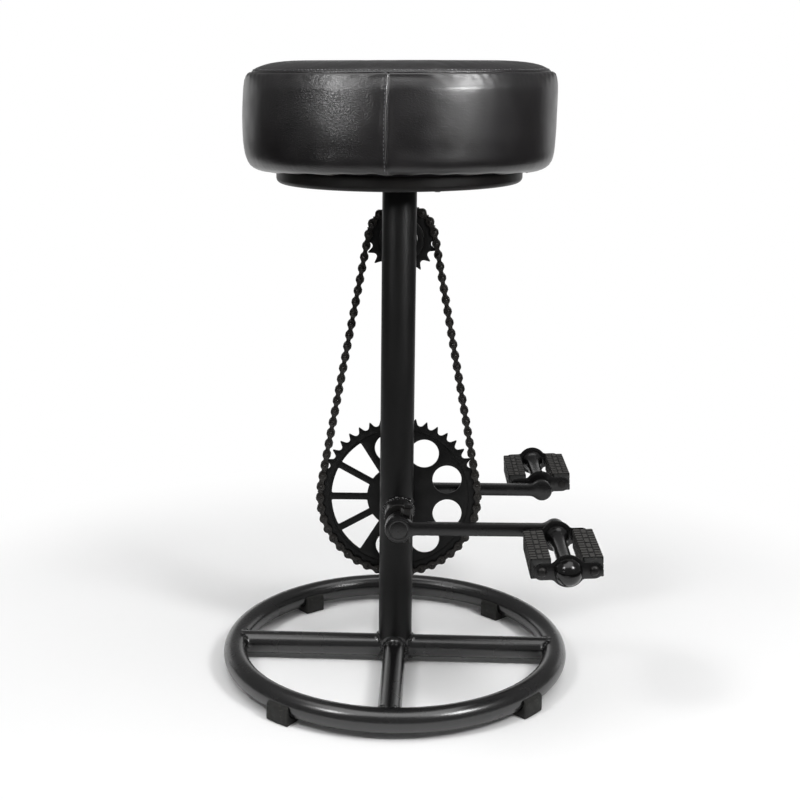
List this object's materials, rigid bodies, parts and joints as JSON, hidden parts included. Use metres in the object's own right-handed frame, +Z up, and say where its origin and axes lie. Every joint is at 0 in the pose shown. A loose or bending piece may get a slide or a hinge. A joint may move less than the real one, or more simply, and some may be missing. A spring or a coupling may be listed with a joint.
{
  "type": "bar stool",
  "caption": "Backless bar stool on a ring base with a round padded leather seat; bicycle cranks, pedals, chainring and chain on its post serve as foot rests.",
  "frame": {"origin": "on the floor, under the middle of the stool's outline", "axes": "+Z up; the front crank is on the -Y side; both cranks point along +X at rest"},
  "size_m": [0.3948, 0.4018, 0.6663],
  "materials": {
    "black_steel": "satin black",
    "black_oxide": "black oxide, satin",
    "chain_steel": "black, oiled",
    "rubber": "matt dark grey",
    "black_wood": "satin black stain",
    "plywood": "raw",
    "foam": "open-cell foam",
    "leather": "black, creased, soft sheen"
  },
  "bodies": {
    "stand": {"base_ring": "black_steel", "right_spoke": "black_steel", "back_spoke": "black_steel", "left_spoke": "black_steel", "front_spoke": "black_steel", "rear_right_foot": "rubber", "rear_left_foot": "rubber", "front_left_foot": "rubber", "front_right_foot": "rubber", "post_tube": "black_steel", "top_flange": "black_steel", "flange_screw_1": "black_oxide", "flange_screw_2": "black_oxide", "flange_screw_3": "black_oxide", "flange_screw_4": "black_oxide", "seat_pan": "black_wood", "seat_board": "plywood", "seat_foam": "foam", "seat_top_panel": "leather", "seat_right_band": "leather", "seat_left_band": "leather", "bracket_shell": "black_steel", "front_cup": "black_oxide", "rear_cup": "black_oxide", "stub_axle": "black_steel", "freewheel_core": "black_oxide", "axle_washer": "black_oxide", "axle_nut": "black_oxide", "chain": "chain_steel"},
    "crankset": {"spindle": "black_oxide", "chainring": "black_steel", "front_crank": "black_steel", "rear_crank": "black_steel", "front_cotter_pin": "black_oxide", "rear_cotter_pin": "black_oxide", "front_cotter_nut": "black_oxide", "rear_cotter_nut": "black_oxide", "front_pedal_axle": "black_oxide", "rear_pedal_axle": "black_oxide"},
    "freewheel": {"sprocket": "black_steel"},
    "front_pedal": {"front_pedal_inner_plate": "black_steel", "front_pedal_outer_plate": "black_steel", "front_pedal_barrel": "black_steel", "front_pedal_dome_cap": "black_steel", "front_pedal_left_block": "rubber", "front_pedal_right_block": "rubber", "front_pedal_left_tie_bolt": "black_oxide", "front_pedal_right_tie_bolt": "black_oxide"},
    "rear_pedal": {"rear_pedal_inner_plate": "black_steel", "rear_pedal_outer_plate": "black_steel", "rear_pedal_barrel": "black_steel", "rear_pedal_dome_cap": "black_steel", "rear_pedal_left_block": "rubber", "rear_pedal_right_block": "rubber", "rear_pedal_left_tie_bolt": "black_oxide", "rear_pedal_right_tie_bolt": "black_oxide"}
  },
  "joints": [
    {"name": "crank_spin", "type": "hinge", "parent": "stand", "child": "crankset", "pos_m": [-0.00355, 0, 0.1803], "axis": [0, -1, 0], "range_deg": [-40.91, 220.91]},
    {"name": "sprocket_spin", "type": "hinge", "parent": "stand", "child": "freewheel", "pos_m": [-0.00355, 0.034, 0.47404], "axis": [0, -1, 0], "range_deg": [-100.2, 540.2]},
    {"name": "front_pedal_spin", "type": "hinge", "parent": "crankset", "child": "front_pedal", "pos_m": [0.16115, -0.13, 0.1803], "axis": [0, -1, 0], "continuous": true},
    {"name": "rear_pedal_spin", "type": "hinge", "parent": "crankset", "child": "rear_pedal", "pos_m": [0.16115, 0.122, 0.1803], "axis": [0, -1, 0], "continuous": true}
  ],
  "couplings": [
    {"joint": "sprocket_spin", "follows": "crank_spin", "ratio": 2.4444}
  ]
}
